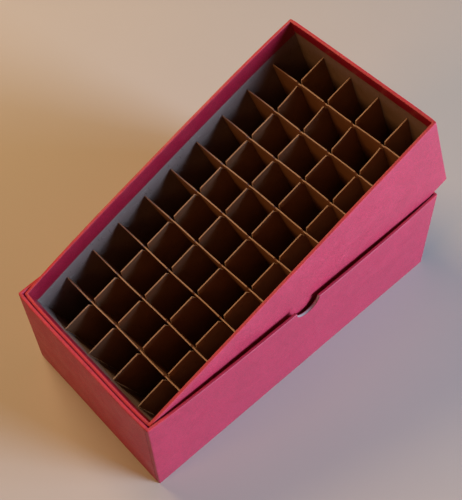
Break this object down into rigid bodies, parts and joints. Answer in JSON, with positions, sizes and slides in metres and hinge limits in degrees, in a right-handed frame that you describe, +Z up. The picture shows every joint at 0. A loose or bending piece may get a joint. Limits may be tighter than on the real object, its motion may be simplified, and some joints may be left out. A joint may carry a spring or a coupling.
{
  "type": "coin roll storage box",
  "caption": "Red paper-wrapped board box for coin rolls: a base tray with a square cardboard cell grid, propped in its own upturned lid.",
  "frame": {"origin": "middle of the outer face of the lid's panel, on the surface that the upturned lid stands on", "axes": "+Z up; +X along the box, towards the end where the tray is raised; +Y across the box to the rear, away from the side the picture was taken from"},
  "size_m": [0.2671, 0.1316, 0.1656],
  "materials": {
    "red_paper": "satin",
    "grey_board": "matte",
    "stay_tape": "matte",
    "brown_chipboard": "matte"
  },
  "bodies": {
    "lid": {"lid_board": "grey_board", "lid_wrap": "red_paper", "lid_stay_left_front": "stay_tape", "lid_stay_left_rear": "stay_tape", "lid_stay_right_front": "stay_tape", "lid_stay_right_rear": "stay_tape"},
    "tray": {"tray_board": "grey_board", "tray_wrap": "red_paper", "tray_stay_left_front": "stay_tape", "tray_stay_left_rear": "stay_tape", "tray_stay_right_front": "stay_tape", "tray_stay_right_rear": "stay_tape"},
    "long_dividers": {"long_divider_1": "brown_chipboard", "long_divider_2": "brown_chipboard", "long_divider_3": "brown_chipboard", "long_divider_4": "brown_chipboard"},
    "cross_divider_1": {"cross_divider_1": "brown_chipboard"},
    "cross_divider_2": {"cross_divider_2": "brown_chipboard"},
    "cross_divider_3": {"cross_divider_3": "brown_chipboard"},
    "cross_divider_4": {"cross_divider_4": "brown_chipboard"},
    "cross_divider_5": {"cross_divider_5": "brown_chipboard"},
    "cross_divider_6": {"cross_divider_6": "brown_chipboard"},
    "cross_divider_7": {"cross_divider_7": "brown_chipboard"},
    "cross_divider_8": {"cross_divider_8": "brown_chipboard"},
    "cross_divider_9": {"cross_divider_9": "brown_chipboard"}
  },
  "joints": [
    {"name": "tray_lift", "type": "slide", "parent": "lid", "child": "tray", "axis": [0, 0, 1], "range_m": [0, 0.09]},
    {"name": "divider_grid_lift", "type": "slide", "parent": "tray", "child": "long_dividers", "axis": [-0.3385, 0, 0.941], "range_m": [0, 0.086]},
    {"name": "cross_divider_1_lift", "type": "slide", "parent": "long_dividers", "child": "cross_divider_1", "axis": [-0.3385, 0, 0.941], "range_m": [0, 0.086]},
    {"name": "cross_divider_2_lift", "type": "slide", "parent": "long_dividers", "child": "cross_divider_2", "axis": [-0.3385, 0, 0.941], "range_m": [0, 0.086]},
    {"name": "cross_divider_3_lift", "type": "slide", "parent": "long_dividers", "child": "cross_divider_3", "axis": [-0.3385, 0, 0.941], "range_m": [0, 0.086]},
    {"name": "cross_divider_4_lift", "type": "slide", "parent": "long_dividers", "child": "cross_divider_4", "axis": [-0.3385, 0, 0.941], "range_m": [0, 0.086]},
    {"name": "cross_divider_5_lift", "type": "slide", "parent": "long_dividers", "child": "cross_divider_5", "axis": [-0.3385, 0, 0.941], "range_m": [0, 0.086]},
    {"name": "cross_divider_6_lift", "type": "slide", "parent": "long_dividers", "child": "cross_divider_6", "axis": [-0.3385, 0, 0.941], "range_m": [0, 0.086]},
    {"name": "cross_divider_7_lift", "type": "slide", "parent": "long_dividers", "child": "cross_divider_7", "axis": [-0.3385, 0, 0.941], "range_m": [0, 0.086]},
    {"name": "cross_divider_8_lift", "type": "slide", "parent": "long_dividers", "child": "cross_divider_8", "axis": [-0.3385, 0, 0.941], "range_m": [0, 0.086]},
    {"name": "cross_divider_9_lift", "type": "slide", "parent": "long_dividers", "child": "cross_divider_9", "axis": [-0.3385, 0, 0.941], "range_m": [0, 0.086]}
  ]
}
